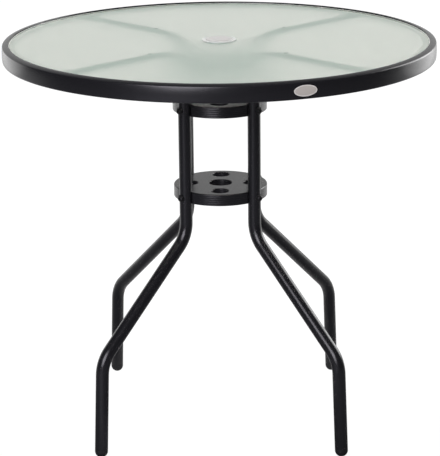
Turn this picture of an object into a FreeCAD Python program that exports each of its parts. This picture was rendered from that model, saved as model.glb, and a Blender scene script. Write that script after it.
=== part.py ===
import FreeCAD, Part
import os
from math import acos, cos, degrees, radians, sin, sqrt

from FreeCAD import Placement, Rotation, Vector

# Round patio table with an umbrella hole: a frosted glass top in a steel rim, carried by four
# bent tube legs that are bolted to two pressed hubs.
# Millimetres. +Z is up and the origin is the centre of the footprint on the floor.
# The front is -Y, and the legs stand on the diagonals.

# Overall
TABLE_DIAMETER = 800.0
TABLE_HEIGHT = 739.0

# Legs on the diagonals
LEG_NAMES = ("rear_right", "rear_left", "front_left", "front_right")
FIRST_LEG_ANGLE = 45.0
LEG_COUNT = len(LEG_NAMES)
LEG_STEP = 360.0 / LEG_COUNT

# Clearances
NEST_GAP = 0.1
BOLT_CLEARANCE = 0.3
SNUG_GAP = 0.05

# Rim band, and the angle ring welded inside it that carries the glass
RIM_HEIGHT = 32.0
RIM_WIDTH = 13.0
RIM_WALL = 1.5
RIM_CROWN = 1.0
RIM_TOP_FALL = 3.0
RIM_OUTER_ROUND = 3.0
RIM_INNER_ROUND = 1.0
LEDGE_REACH = 12.0
LEDGE_THICKNESS = 2.0
LEDGE_FLANGE_DROP = 7.0
LEDGE_CORNER_ROUND = 1.0

# Umbrella pole that goes down through the glass and both hubs
POLE_RADIUS = 19.0
HUB_POLE_CLEARANCE = 2.75
GLASS_POLE_CLEARANCE = 8.0

# Glass and its edge strip
GLASS_THICKNESS = 5.0
GLASS_BELOW_RIM = 3.0
GLASS_EDGE_ROUND = 1.2
STRIP_THICKNESS = 1.0
STRIP_PAST_LEDGE = 0.5

# Bent tube
TUBE_RADIUS = 12.0
TUBE_WALL = 1.5
COLUMN_OUTSET = 2.0
ARM_BEND_RADIUS = 77.0
LEG_BEND_RADIUS = 60.0
SPLAY_BELOW_HUB = 63.5
KNEE_HEIGHT = 184.0
KNEE_RADIUS = 304.0
FOOT_OUTSET = 9.0

# Flattened end of each arm
TONGUE_LENGTH = 28.0
TONGUE_WIDTH = 34.0
TONGUE_SWAGE = 24.0
TONGUE_END_GAP = 7.0
SWAGE_SLIT = 0.4

# Clear bumpers between the arms and the glass
BUMPER_RADIUS = 4.5
BUMPER_HEIGHT = 3.5
BUMPER_PAST_BEND = 5.0

# Domed foot plugs
PLUG_SKIRT = 4.0
PLUG_FLAT_RADIUS = 4.0
PLUG_STEM_LENGTH = 18.0
PLUG_RIB_COUNT = 6
PLUG_RIB_WIDTH = 1.2
PLUG_STEM_RELIEF = 0.8

# Pressed hubs
HUB_RADIUS = 88.0
HUB_HEIGHT = 21.5
HUB_SHEET = 2.0
HUB_INSIDE_ROUND = 0.5
HUB_MOUTH_EXTRA_ROUND = 1.5
HUB_BELOW_BEND = 9.5
HUB_SPACING = 166.0
POLE_COLLAR_END_GAP = 1.0
COLLAR_MOUTH_ROUND = 1.5
LIGHTENING_HOLE_RADIUS = 16.5
LIGHTENING_HOLE_MARGIN = 12.5
LIGHTENING_LIP_LENGTH = 10.0
LIGHTENING_LIP_SHEET = 1.5

# Fasteners
BOLT_RADIUS = 3.0
BOLT_HEAD_RADIUS = 5.75
BOLT_HEAD_HEIGHT = 3.5
BOLT_SOCKET_FLATS = 4.0
BOLT_SOCKET_DEPTH = 2.2
BOLT_PAST_NUT = 1.5
NUT_FLATS = 10.0
NUT_HEIGHT = 5.0
NUT_SADDLE = 1.6
SADDLE_RADIUS = 7.2
SADDLE_CROWN = 1.2
WASHER_RADIUS = 7.0
WASHER_THICKNESS = 1.2

# Brackets inside the rim
BRACKET_SHEET = 2.5
BRACKET_WIDTH = 30.0
BRACKET_BEND_RADIUS = 1.5
BRACKET_END_ROUND = 8.0
BRACKET_REACH = 36.0
BRACKET_FOOT_GAP = 2.5

# Ring in the hole of the glass, and the cap over it
RING_FLANGE_REACH = 5.0
RING_FLANGE_THICKNESS = 1.6
RING_GAP = 1.0
RING_WALL = 2.5
RING_BELOW_GLASS = 10.0
RING_EDGE_ROUND = 0.8
SNAP_COUNT = 6
SNAP_PAST_GLASS = 0.9
SNAP_HEIGHT = 4.0
SNAP_WIDTH = 9.0
CAP_OVERLAP = 1.5
CAP_EDGE = 1.2
CAP_DOME = 1.0
CAP_SKIN = 1.4
CAP_PLUG_LENGTH = 9.0
CAP_PLUG_GAP = 0.08
CAP_EDGE_ROUND = 0.6

# Heights and radii that follow from the sizes above
RIM_RADIUS = TABLE_DIAMETER / 2.0
RIM_INNER_RADIUS = RIM_RADIUS - RIM_WIDTH
RIM_BOTTOM = TABLE_HEIGHT - RIM_HEIGHT
GLASS_TOP = TABLE_HEIGHT - GLASS_BELOW_RIM
GLASS_BOTTOM = GLASS_TOP - GLASS_THICKNESS
LEDGE_TOP = GLASS_BOTTOM - STRIP_THICKNESS
LEDGE_BOTTOM = LEDGE_TOP - LEDGE_THICKNESS
LEDGE_RADIUS = RIM_INNER_RADIUS - LEDGE_REACH
GLASS_RADIUS = RIM_INNER_RADIUS - STRIP_THICKNESS
GLASS_HOLE_RADIUS = POLE_RADIUS + GLASS_POLE_CLEARANCE
POLE_HOLE_RADIUS = POLE_RADIUS + HUB_POLE_CLEARANCE
ARM_HEIGHT = GLASS_BOTTOM - BUMPER_HEIGHT - TUBE_RADIUS
COLUMN_RADIUS = HUB_RADIUS + COLUMN_OUTSET
COLUMN_TOP = ARM_HEIGHT - ARM_BEND_RADIUS
UPPER_HUB_BOTTOM = COLUMN_TOP - HUB_BELOW_BEND - HUB_HEIGHT
LOWER_HUB_BOTTOM = UPPER_HUB_BOTTOM - HUB_SPACING
SPLAY_TOP_HEIGHT = LOWER_HUB_BOTTOM - SPLAY_BELOW_HUB
FOOT_RADIUS = KNEE_RADIUS + FOOT_OUTSET
BUMPER_AT_RADIUS = COLUMN_RADIUS + ARM_BEND_RADIUS + BUMPER_PAST_BEND
BORE_RADIUS = TUBE_RADIUS - TUBE_WALL
TONGUE_THICKNESS = 2.0 * TUBE_WALL
TONGUE_TIP = RIM_INNER_RADIUS - BRACKET_SHEET - TONGUE_END_GAP
TONGUE_ROOT = TONGUE_TIP - TONGUE_LENGTH
SWAGE_ROOT = TONGUE_ROOT - TONGUE_SWAGE
RIM_BOLT_RADIUS = (TONGUE_TIP + TONGUE_ROOT) / 2.0
SHELF_BOTTOM = ARM_HEIGHT + TONGUE_THICKNESS / 2.0
SHELF_TOP = SHELF_BOTTOM + BRACKET_SHEET
HUB_EDGE_ROUND = HUB_INSIDE_ROUND + HUB_SHEET
HUB_MOUTH_ROUND = HUB_EDGE_ROUND + HUB_MOUTH_EXTRA_ROUND
POLE_COLLAR_LENGTH = HUB_HEIGHT - POLE_COLLAR_END_GAP
LIGHTENING_HOLE_CIRCLE = HUB_RADIUS - LIGHTENING_HOLE_MARGIN - LIGHTENING_HOLE_RADIUS
NOTCH_RADIUS = TUBE_RADIUS + NEST_GAP
BOLT_SEAT_RADIUS = COLUMN_RADIUS + TUBE_RADIUS + NEST_GAP + SADDLE_CROWN
POCKET_INNER_RADIUS = COLUMN_RADIUS - NOTCH_RADIUS - HUB_SHEET
NUT_SEAT_RADIUS = POCKET_INNER_RADIUS - SNUG_GAP
RING_COLLAR_RADIUS = GLASS_HOLE_RADIUS - RING_GAP
RING_FLANGE_RADIUS = GLASS_HOLE_RADIUS + RING_FLANGE_REACH
RING_BORE_RADIUS = RING_COLLAR_RADIUS - RING_WALL
SNAP_RADIUS = GLASS_HOLE_RADIUS + SNAP_PAST_GLASS
CAP_RADIUS = RING_BORE_RADIUS + CAP_OVERLAP
HUB_BOTTOMS = {"upper": UPPER_HUB_BOTTOM, "lower": LOWER_HUB_BOTTOM}


def leg_angle(index):
    """Direction of one leg seen from above, in degrees."""
    return FIRST_LEG_ANGLE + index * LEG_STEP


def turned(shape, angle):
    """A copy of a shape turned about the table's axis."""
    copy = shape.copy()
    copy.rotate(Vector(0, 0, 0), Vector(0, 0, 1), angle)
    return copy


def around(shape):
    """The same shape at each of the four legs."""
    return Part.makeCompound([turned(shape, leg_angle(i)) for i in range(LEG_COUNT)])


def closed_face(edges):
    """Flat face inside a closed run of edges."""
    return Part.Face(Part.Wire(Part.__sortEdges__(edges)))


def revolved(points, rounds):
    """Ring or disc about the table's axis from a profile of (radius, height) points.

    rounds gives the corner radius at the points that have one, by their place in the list.
    """
    count = len(points)
    corners = [Vector(r, 0, z) for r, z in points]
    starts, ends, edges = [], [], []
    for i, corner in enumerate(corners):
        radius = rounds.get(i, 0.0)
        before = (corners[i - 1] - corner).normalize()
        after = (corners[(i + 1) % count] - corner).normalize()
        if radius == 0.0:
            starts.append(corner)
            ends.append(corner)
            continue
        half = acos(max(-1.0, min(1.0, before.dot(after)))) / 2.0
        reach = radius * cos(half) / sin(half)
        first = corner + before * reach
        last = corner + after * reach
        centre = corner + (before + after).normalize() * (radius / sin(half))
        middle = centre + (corner - centre).normalize() * radius
        edges.append(Part.Arc(first, middle, last).toShape())
        starts.append(first)
        ends.append(last)
    for i in range(count):
        a, b = ends[i], starts[(i + 1) % count]
        if (b - a).Length > 1e-6:
            edges.append(Part.makeLine(a, b))
    return closed_face(edges).revolve(Vector(0, 0, 0), Vector(0, 0, 1), 360)


def radial_cylinder(radius, inner, outer, height):
    """Round bar that points outward along +X between two distances from the axis."""
    return Part.makeCylinder(radius, outer - inner, Vector(inner, 0, height), Vector(1, 0, 0))


def hex_prism(flats, length):
    """Hexagonal bar from the origin up along +Z."""
    corner = flats / sqrt(3.0)
    points = [Vector(corner * cos(radians(60 * i)), corner * sin(radians(60 * i)), 0)
              for i in range(6)]
    face = Part.Face(Part.makePolygon(points + points[:1]))
    return face.extrude(Vector(0, 0, length))


def laid_radial(shape, inner, height):
    """Turn a shape built up along +Z so that its +Z points outward along +X."""
    copy = shape.copy()
    copy.rotate(Vector(0, 0, 0), Vector(0, 1, 0), 90)
    copy.translate(Vector(inner, 0, height))
    return copy


def radial_tube_surface(radius, low, high):
    """Upright round bar on the line of the tube between two heights."""
    return Part.makeCylinder(radius, high - low, Vector(COLUMN_RADIUS, 0, low), Vector(0, 0, 1))


# Rim, strip and glass

def crowned_ring(inner, outer, low, high, inner_round, outer_round):
    """Ring whose outer face is a shallow arc and whose top falls outward in another one."""
    edge = outer - RIM_CROWN
    shoulder = high - RIM_TOP_FALL
    corners = [Vector(inner, 0, low), Vector(edge, 0, low),
               Vector(edge, 0, shoulder), Vector(inner, 0, high)]
    middle = Vector(outer, 0, (low + shoulder) / 2.0)
    top_radius = ((edge - inner) ** 2 + RIM_TOP_FALL ** 2) / (2.0 * RIM_TOP_FALL)
    half = acos(1.0 - RIM_TOP_FALL / top_radius) / 2.0
    crest = Vector(inner + top_radius * sin(half), 0, high - top_radius * (1.0 - cos(half)))
    ring = closed_face([
        Part.makeLine(corners[0], corners[1]),
        Part.Arc(corners[1], middle, corners[2]).toShape(),
        Part.Arc(corners[2], crest, corners[3]).toShape(),
        Part.makeLine(corners[3], corners[0])])
    ring = ring.revolve(Vector(0, 0, 0), Vector(0, 0, 1), 360)
    for radius, at, top in ((outer_round, edge, shoulder), (inner_round, inner, high)):
        if radius > 0.0:
            rims = [e for e in ring.Edges if e.BoundBox.ZLength < 0.01
                    and abs(e.BoundBox.XMax - at) < 0.01
                    and min(abs(e.BoundBox.ZMin - low), abs(e.BoundBox.ZMin - top)) < 0.01]
            ring = ring.makeFillet(radius, rims)
    return ring


def rim_band():
    """Rolled steel band: a closed hollow section, highest at its inner edge."""
    outside = crowned_ring(RIM_INNER_RADIUS, RIM_RADIUS, RIM_BOTTOM, TABLE_HEIGHT,
                           RIM_INNER_ROUND, RIM_OUTER_ROUND)
    inside = crowned_ring(RIM_INNER_RADIUS + RIM_WALL, RIM_RADIUS - RIM_WALL,
                          RIM_BOTTOM + RIM_WALL, TABLE_HEIGHT - RIM_WALL,
                          0.0, RIM_OUTER_ROUND - RIM_WALL)
    return outside.cut(inside)


def support_ring():
    """Rolled steel angle welded inside the rim: the glass lies on its level flange."""
    web = RIM_INNER_RADIUS - LEDGE_THICKNESS
    return revolved(
        [(LEDGE_RADIUS, LEDGE_BOTTOM), (web, LEDGE_BOTTOM),
         (web, LEDGE_TOP - LEDGE_FLANGE_DROP), (RIM_INNER_RADIUS, LEDGE_TOP - LEDGE_FLANGE_DROP),
         (RIM_INNER_RADIUS, LEDGE_TOP), (LEDGE_RADIUS, LEDGE_TOP)],
        {1: LEDGE_CORNER_ROUND})


def edge_strip():
    """Soft strip that keeps the glass off the ledge and off the wall of the rim."""
    foot = LEDGE_RADIUS - STRIP_PAST_LEDGE
    return revolved(
        [(foot, LEDGE_TOP), (RIM_INNER_RADIUS, LEDGE_TOP),
         (RIM_INNER_RADIUS, GLASS_TOP), (GLASS_RADIUS, GLASS_TOP),
         (GLASS_RADIUS, GLASS_BOTTOM), (foot, GLASS_BOTTOM)],
        {})


def glass_sheet():
    """Round sheet of glass with ground edges and the hole for the pole."""
    rounds = {i: GLASS_EDGE_ROUND for i in range(4)}
    return revolved(
        [(GLASS_HOLE_RADIUS, GLASS_BOTTOM), (GLASS_RADIUS, GLASS_BOTTOM),
         (GLASS_RADIUS, GLASS_TOP), (GLASS_HOLE_RADIUS, GLASS_TOP)],
        rounds)


def rim_bracket():
    """Bent steel angle welded inside the rim; the arm's end is bolted up against its shelf."""
    tip = RIM_INNER_RADIUS - BRACKET_REACH
    wall = RIM_INNER_RADIUS
    inner, outer = BRACKET_BEND_RADIUS, BRACKET_BEND_RADIUS + BRACKET_SHEET
    foot = RIM_BOTTOM + BRACKET_FOOT_GAP
    bend = Vector(wall - outer, 0, SHELF_TOP - outer)
    side = cos(radians(45))

    def at(dx, dz):
        return Vector(bend.x + dx, 0, bend.z + dz)

    edges = [
        Part.makeLine(Vector(tip, 0, SHELF_TOP), at(0, outer)),
        Part.Arc(at(0, outer), at(outer * side, outer * side), at(outer, 0)).toShape(),
        Part.makeLine(at(outer, 0), Vector(wall, 0, foot)),
        Part.makeLine(Vector(wall, 0, foot), Vector(wall - BRACKET_SHEET, 0, foot)),
        Part.makeLine(Vector(wall - BRACKET_SHEET, 0, foot), at(inner, 0)),
        Part.Arc(at(inner, 0), at(inner * side, inner * side), at(0, inner)).toShape(),
        Part.makeLine(at(0, inner), Vector(tip, 0, SHELF_BOTTOM)),
        Part.makeLine(Vector(tip, 0, SHELF_BOTTOM), Vector(tip, 0, SHELF_TOP)),
    ]
    strip = closed_face(edges).extrude(Vector(0, BRACKET_WIDTH, 0))
    strip.translate(Vector(0, -BRACKET_WIDTH / 2.0, 0))
    corners = [e for e in strip.Edges if e.Length < BRACKET_SHEET + 0.01
               and abs(e.BoundBox.XMax - tip) < 0.01 and abs(e.BoundBox.XMin - tip) < 0.01
               and e.BoundBox.ZLength > BRACKET_SHEET - 0.01]
    strip = strip.makeFillet(BRACKET_END_ROUND, corners)
    hole = Part.makeCylinder(BOLT_RADIUS + BOLT_CLEARANCE, RIM_HEIGHT,
                             Vector(RIM_BOLT_RADIUS, 0, RIM_BOTTOM), Vector(0, 0, 1))
    # The back of the strip follows the round wall of the rim that it is welded to.
    round_wall = Part.makeCylinder(RIM_INNER_RADIUS, TABLE_HEIGHT)
    return strip.cut(hole).common(round_wall)


# Legs

def leg_path():
    """Centre line of one leg in the XZ plane, from the arm's swage to the foot."""
    arm_turn = Vector(COLUMN_RADIUS + ARM_BEND_RADIUS, 0, COLUMN_TOP)
    side = cos(radians(45))
    arm_end = Vector(arm_turn.x, 0, ARM_HEIGHT)
    arm_middle = arm_turn + Vector(-ARM_BEND_RADIUS * side, 0, ARM_BEND_RADIUS * side)
    column_top = Vector(COLUMN_RADIUS, 0, COLUMN_TOP)

    top = Vector(COLUMN_RADIUS, 0, SPLAY_TOP_HEIGHT)
    knee = Vector(KNEE_RADIUS, 0, KNEE_HEIGHT)
    foot = foot_end()
    edges = [Part.makeLine(Vector(SWAGE_ROOT, 0, ARM_HEIGHT), arm_end),
             Part.Arc(arm_end, arm_middle, column_top).toShape()]
    last = column_top
    for corner, after in ((top, knee), (knee, foot)):
        back = (last - corner).normalize()
        ahead = (after - corner).normalize()
        half = acos(back.dot(ahead)) / 2.0
        reach = LEG_BEND_RADIUS * cos(half) / sin(half)
        first = corner + back * reach
        second = corner + ahead * reach
        centre = corner + (back + ahead).normalize() * (LEG_BEND_RADIUS / sin(half))
        middle = centre + (corner - centre).normalize() * LEG_BEND_RADIUS
        edges.append(Part.makeLine(last, first))
        edges.append(Part.Arc(first, middle, second).toShape())
        last = second
    edges.append(Part.makeLine(last, foot))
    return Part.Wire(edges)


def dome_height():
    """Height of the centre of the foot's dome, so that its flat has the stated radius."""
    return sqrt(TUBE_RADIUS ** 2 - PLUG_FLAT_RADIUS ** 2)


def foot_direction():
    """Unit vector up along the last straight of the leg."""
    knee = Vector(KNEE_RADIUS, 0, KNEE_HEIGHT)
    return (knee - Vector(FOOT_RADIUS, 0, dome_height())).normalize()


def foot_end():
    """Point on the centre line where the tube stops and the plug's skirt begins."""
    return Vector(FOOT_RADIUS, 0, dome_height()) + foot_direction() * PLUG_SKIRT


def swept(radius):
    """Round bar of one radius along the leg's centre line."""
    path = leg_path()
    circle = Part.Wire(Part.Circle(Vector(SWAGE_ROOT, 0, ARM_HEIGHT), Vector(1, 0, 0),
                                   radius).toShape())
    return path.makePipeShell([circle], True, False)


def stadium_wire(x, width, height):
    """Slot outline across the arm at one distance, with round ends left and right."""
    half = height / 2.0
    flat = width / 2.0 - half
    centre = Vector(x, 0, ARM_HEIGHT)

    def at(dy, dz):
        return centre + Vector(0, dy, dz)

    return Part.Wire([
        Part.makeLine(at(-flat, half), at(flat, half)),
        Part.Arc(at(flat, half), at(flat + half, 0), at(flat, -half)).toShape(),
        Part.makeLine(at(flat, -half), at(-flat, -half)),
        Part.Arc(at(-flat, -half), at(-flat - half, 0), at(-flat, half)).toShape()])


def round_wire(x, radius):
    """Circle across the arm in four arcs, to be lofted into a slot outline."""
    centre = Vector(x, 0, ARM_HEIGHT)

    def at(angle):
        return centre + Vector(0, radius * cos(radians(angle)), radius * sin(radians(angle)))

    quarters = ((135, 90, 45), (45, 0, -45), (-45, -90, -135), (-135, -180, -225))
    return Part.Wire([Part.Arc(at(a), at(b), at(c)).toShape() for a, b, c in quarters])


def flattened_end():
    """Arm's end pressed flat: round tube, then a swage, then a tongue with a round tip."""
    swage = Part.makeLoft([round_wire(SWAGE_ROOT, TUBE_RADIUS),
                           stadium_wire(TONGUE_ROOT, TONGUE_WIDTH, TONGUE_THICKNESS)], True, True)
    blank = Part.Face(stadium_wire(TONGUE_ROOT, TONGUE_WIDTH, TONGUE_THICKNESS))
    tongue = blank.extrude(Vector(TONGUE_LENGTH, 0, 0))
    tip_round = TONGUE_WIDTH / 2.0
    tip = Part.makeCylinder(tip_round, RIM_HEIGHT,
                            Vector(TONGUE_TIP - tip_round, 0, ARM_HEIGHT - RIM_HEIGHT / 2.0))
    body = Part.makeBox(TONGUE_LENGTH - tip_round + SNUG_GAP, TONGUE_WIDTH + 1.0, RIM_HEIGHT,
                        Vector(TONGUE_ROOT - SNUG_GAP, -TONGUE_WIDTH / 2.0 - 0.5,
                               ARM_HEIGHT - RIM_HEIGHT / 2.0))
    tongue = tongue.common(tip.fuse(body))
    slit_width = TONGUE_WIDTH - 2.0 * TUBE_WALL
    hollow = Part.makeLoft([round_wire(SWAGE_ROOT, BORE_RADIUS),
                            stadium_wire(TONGUE_ROOT, slit_width, SWAGE_SLIT)], True, True)
    return swage.fuse(tongue), hollow


def leg():
    """One leg: a single bent tube from the rim to the foot, with its bolt holes."""
    end, hollow = flattened_end()
    tube = swept(TUBE_RADIUS).fuse(end).cut(swept(BORE_RADIUS)).cut(hollow)
    hole = BOLT_RADIUS + BOLT_CLEARANCE
    for bottom in HUB_BOTTOMS.values():
        tube = tube.cut(radial_cylinder(hole, COLUMN_RADIUS - 2 * TUBE_RADIUS,
                                        COLUMN_RADIUS + 2 * TUBE_RADIUS,
                                        bottom + HUB_HEIGHT / 2.0))
    rim_hole = Part.makeCylinder(hole, RIM_HEIGHT, Vector(RIM_BOLT_RADIUS, 0, RIM_BOTTOM))
    return tube.cut(rim_hole)


def foot_plug():
    """Domed plug flush with the tube, with a ribbed stem that grips the bore."""
    up = foot_direction()
    centre = Vector(FOOT_RADIUS, 0, dome_height())
    end = foot_end()
    dome = Part.makeSphere(TUBE_RADIUS, centre)
    skirt = Part.makeCylinder(TUBE_RADIUS, PLUG_SKIRT, centre, up)
    half_space = Part.makeCylinder(2 * TUBE_RADIUS, 2 * TUBE_RADIUS, end, up)
    body = dome.fuse(skirt).cut(half_space)
    core = BORE_RADIUS - PLUG_STEM_RELIEF
    stem = Part.makeCylinder(core, PLUG_STEM_LENGTH, end - up * SNUG_GAP, up)
    for i in range(PLUG_RIB_COUNT):
        rib = Part.makeBox(BORE_RADIUS - SNUG_GAP, PLUG_RIB_WIDTH, PLUG_STEM_LENGTH,
                           Vector(0, -PLUG_RIB_WIDTH / 2.0, 0))
        rib.rotate(Vector(0, 0, 0), Vector(0, 0, 1), i * 360.0 / PLUG_RIB_COUNT)
        seat = Placement(end - up * SNUG_GAP, Rotation(Vector(0, 0, 1), up))
        rib.Placement = seat.multiply(rib.Placement)
        stem = stem.fuse(rib)
    stem = stem.common(Part.makeCylinder(BORE_RADIUS - SNUG_GAP, PLUG_STEM_LENGTH + 1.0,
                                         end - up * SNUG_GAP, up))
    floor = Part.makeBox(4 * TUBE_RADIUS, 4 * TUBE_RADIUS, 2 * TUBE_RADIUS,
                         Vector(FOOT_RADIUS - 2 * TUBE_RADIUS, -2 * TUBE_RADIUS,
                                -2 * TUBE_RADIUS))
    return body.fuse(stem).cut(floor).removeSplitter()


def bumper():
    """Clear disc between one arm and the glass, hollowed to sit on the round tube."""
    disc = Part.makeCylinder(BUMPER_RADIUS, BUMPER_HEIGHT + TUBE_RADIUS,
                             Vector(BUMPER_AT_RADIUS, 0, ARM_HEIGHT))
    arm = radial_cylinder(TUBE_RADIUS + SNUG_GAP, COLUMN_RADIUS, RIM_RADIUS, ARM_HEIGHT)
    return disc.cut(arm)


# Hubs

def hub_outline():
    """Flat outline of a hub: a disc with a round-mouthed notch for each tube."""
    mouth = HUB_MOUTH_ROUND
    near, far = HUB_RADIUS - mouth, NOTCH_RADIUS + mouth
    x = (near ** 2 + COLUMN_RADIUS ** 2 - far ** 2) / (2.0 * COLUMN_RADIUS)
    y = sqrt(near ** 2 - x ** 2)
    axis = Vector(COLUMN_RADIUS, 0, 0)
    edges = []
    for i in range(LEG_COUNT):
        turn = Rotation(Vector(0, 0, 1), leg_angle(i))
        on_rim, on_notch = [], []
        for side in (-1, 1):
            centre = Vector(x, side * y, 0)
            outer = centre * (HUB_RADIUS / near)
            inner = axis + (centre - axis) * (NOTCH_RADIUS / far)
            chord = ((outer - centre) + (inner - centre)).normalize()
            edges.append(Part.Arc(turn.multVec(outer), turn.multVec(centre + chord * mouth),
                                  turn.multVec(inner)).toShape())
            on_rim.append(outer)
            on_notch.append(inner)
        deep = Vector(COLUMN_RADIUS - NOTCH_RADIUS, 0, 0)
        edges.append(Part.Arc(turn.multVec(on_notch[0]), turn.multVec(deep),
                              turn.multVec(on_notch[1])).toShape())
        ahead = Rotation(Vector(0, 0, 1), leg_angle(i) + LEG_STEP)
        between = Rotation(Vector(0, 0, 1), leg_angle(i) + LEG_STEP / 2.0)
        edges.append(Part.Arc(turn.multVec(on_rim[1]), between.multVec(Vector(HUB_RADIUS, 0, 0)),
                              ahead.multVec(on_rim[0])).toShape())
    return closed_face(edges)


def drawn_collar(radius, sheet, length, mouth, top):
    """Collar drawn down from the plate round a hole, with a rolled mouth."""
    return revolved(
        [(radius, top), (radius, top - length), (radius + sheet, top - length),
         (radius + sheet, top - HUB_SHEET), (radius + sheet + mouth, top - HUB_SHEET),
         (radius + sheet + mouth, top)],
        {0: mouth})


def hub(bottom):
    """Pressed steel pan with notches for the tubes and drawn collars round its five holes."""
    top = bottom + HUB_HEIGHT
    face = hub_outline()
    shell = face.extrude(Vector(0, 0, HUB_HEIGHT))
    shell.translate(Vector(0, 0, bottom))
    inner_face = Part.Face(face.OuterWire.makeOffset2D(-HUB_SHEET))
    inside = inner_face.extrude(Vector(0, 0, HUB_HEIGHT - HUB_SHEET))
    inside.translate(Vector(0, 0, bottom))
    rim = [e for e in shell.Edges if abs(e.BoundBox.ZMin - top) < 0.01 and e.BoundBox.ZLength < 0.01]
    shell = shell.makeFillet(HUB_EDGE_ROUND, rim)
    under = inside.BoundBox.ZMax
    corner = [e for e in inside.Edges
              if abs(e.BoundBox.ZMin - under) < 0.01 and e.BoundBox.ZLength < 0.01]
    inside = inside.makeFillet(HUB_INSIDE_ROUND, corner)
    pan = shell.cut(inside)
    pole = Part.makeCylinder(POLE_HOLE_RADIUS + COLLAR_MOUTH_ROUND, HUB_HEIGHT,
                             Vector(0, 0, bottom))
    pan = pan.cut(pole)
    collars = [drawn_collar(POLE_HOLE_RADIUS, HUB_SHEET, POLE_COLLAR_LENGTH,
                            COLLAR_MOUTH_ROUND, top)]
    small = drawn_collar(LIGHTENING_HOLE_RADIUS, LIGHTENING_LIP_SHEET, LIGHTENING_LIP_LENGTH,
                         COLLAR_MOUTH_ROUND, top)
    for i in range(LEG_COUNT):
        angle = radians(leg_angle(i) + LEG_STEP / 2.0)
        at = Vector(LIGHTENING_HOLE_CIRCLE * cos(angle), LIGHTENING_HOLE_CIRCLE * sin(angle), 0)
        hole = Part.makeCylinder(LIGHTENING_HOLE_RADIUS + COLLAR_MOUTH_ROUND, HUB_HEIGHT,
                                 Vector(at.x, at.y, bottom))
        pan = pan.cut(hole)
        lip = small.copy()
        lip.translate(at)
        collars.append(lip)
    pan = pan.fuse(collars)
    for i in range(LEG_COUNT):
        bolt_hole = radial_cylinder(BOLT_RADIUS + BOLT_CLEARANCE,
                                    POCKET_INNER_RADIUS - HUB_SHEET, COLUMN_RADIUS,
                                    bottom + HUB_HEIGHT / 2.0)
        pan = pan.cut(turned(bolt_hole, leg_angle(i)))
    return pan.removeSplitter()


# Fasteners

def button_head_bolt(length):
    """Bolt up along +Z: the shank ends at the origin's side, the domed head is on top."""
    shank = Part.makeCylinder(BOLT_RADIUS, length)
    shank = shank.makeChamfer(BOLT_RADIUS / 6.0, [e for e in shank.Edges
                                                  if e.BoundBox.ZMax < 0.01])
    head = Part.makeCylinder(BOLT_HEAD_RADIUS, BOLT_HEAD_HEIGHT, Vector(0, 0, length))
    crown = [e for e in head.Edges if e.BoundBox.ZMin > length + BOLT_HEAD_HEIGHT - 0.01]
    head = head.makeFillet(BOLT_HEAD_HEIGHT * 0.8, crown)
    socket = hex_prism(BOLT_SOCKET_FLATS, BOLT_SOCKET_DEPTH + 1.0)
    socket.translate(Vector(0, 0, length + BOLT_HEAD_HEIGHT - BOLT_SOCKET_DEPTH))
    return shank.fuse(head).cut(socket).removeSplitter()


def hub_bolt(height):
    """Bolt that runs in through a tube and the wall of the hub, with its head outside."""
    tip = NUT_SEAT_RADIUS - NUT_SADDLE - NUT_HEIGHT - BOLT_PAST_NUT
    return laid_radial(button_head_bolt(BOLT_SEAT_RADIUS - tip), tip, height)


def saddle_washer(height):
    """Washer under a hub bolt: round to the tube inside, flat to the head outside."""
    body = radial_cylinder(SADDLE_RADIUS, COLUMN_RADIUS, BOLT_SEAT_RADIUS, height)
    tube = radial_tube_surface(TUBE_RADIUS + NEST_GAP, height - HUB_HEIGHT, height + HUB_HEIGHT)
    hole = radial_cylinder(BOLT_RADIUS + BOLT_CLEARANCE, COLUMN_RADIUS,
                           BOLT_SEAT_RADIUS + 1.0, height)
    return body.cut(tube).cut(hole)


def hub_nut(height):
    """Nut welded inside the hub, with its base shaped to the back of the notch."""
    length = NUT_HEIGHT + NUT_SADDLE + HUB_SHEET + NOTCH_RADIUS
    prism = laid_radial(hex_prism(NUT_FLATS, length), NUT_SEAT_RADIUS - NUT_SADDLE - NUT_HEIGHT,
                        height)
    back = radial_tube_surface(NOTCH_RADIUS + HUB_SHEET + SNUG_GAP, height - HUB_HEIGHT,
                               height + HUB_HEIGHT)
    bore = radial_cylinder(BOLT_RADIUS + SNUG_GAP, 0.0, COLUMN_RADIUS, height)
    return prism.cut(back).cut(bore)


def flat_washer(at_radius, bottom):
    """Plain washer lying flat."""
    disc = Part.makeCylinder(WASHER_RADIUS, WASHER_THICKNESS, Vector(at_radius, 0, bottom))
    return disc.cut(Part.makeCylinder(BOLT_RADIUS + BOLT_CLEARANCE, WASHER_THICKNESS,
                                      Vector(at_radius, 0, bottom)))


def rim_bolt():
    """Bolt up through the tongue and the bracket, with its head below."""
    seat = ARM_HEIGHT - TONGUE_THICKNESS / 2.0 - WASHER_THICKNESS
    tip = SHELF_TOP + NUT_HEIGHT + BOLT_PAST_NUT / 2.0
    bolt = button_head_bolt(tip - seat)
    bolt.rotate(Vector(0, 0, 0), Vector(1, 0, 0), 180)
    bolt.translate(Vector(RIM_BOLT_RADIUS, 0, tip))
    return bolt


def rim_nut():
    """Hexagon nut on top of the bracket's shelf."""
    nut = hex_prism(NUT_FLATS, NUT_HEIGHT)
    nut = nut.cut(Part.makeCylinder(BOLT_RADIUS + SNUG_GAP, NUT_HEIGHT))
    nut.translate(Vector(RIM_BOLT_RADIUS, 0, SHELF_TOP))
    return nut


# Hole fitting

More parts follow.
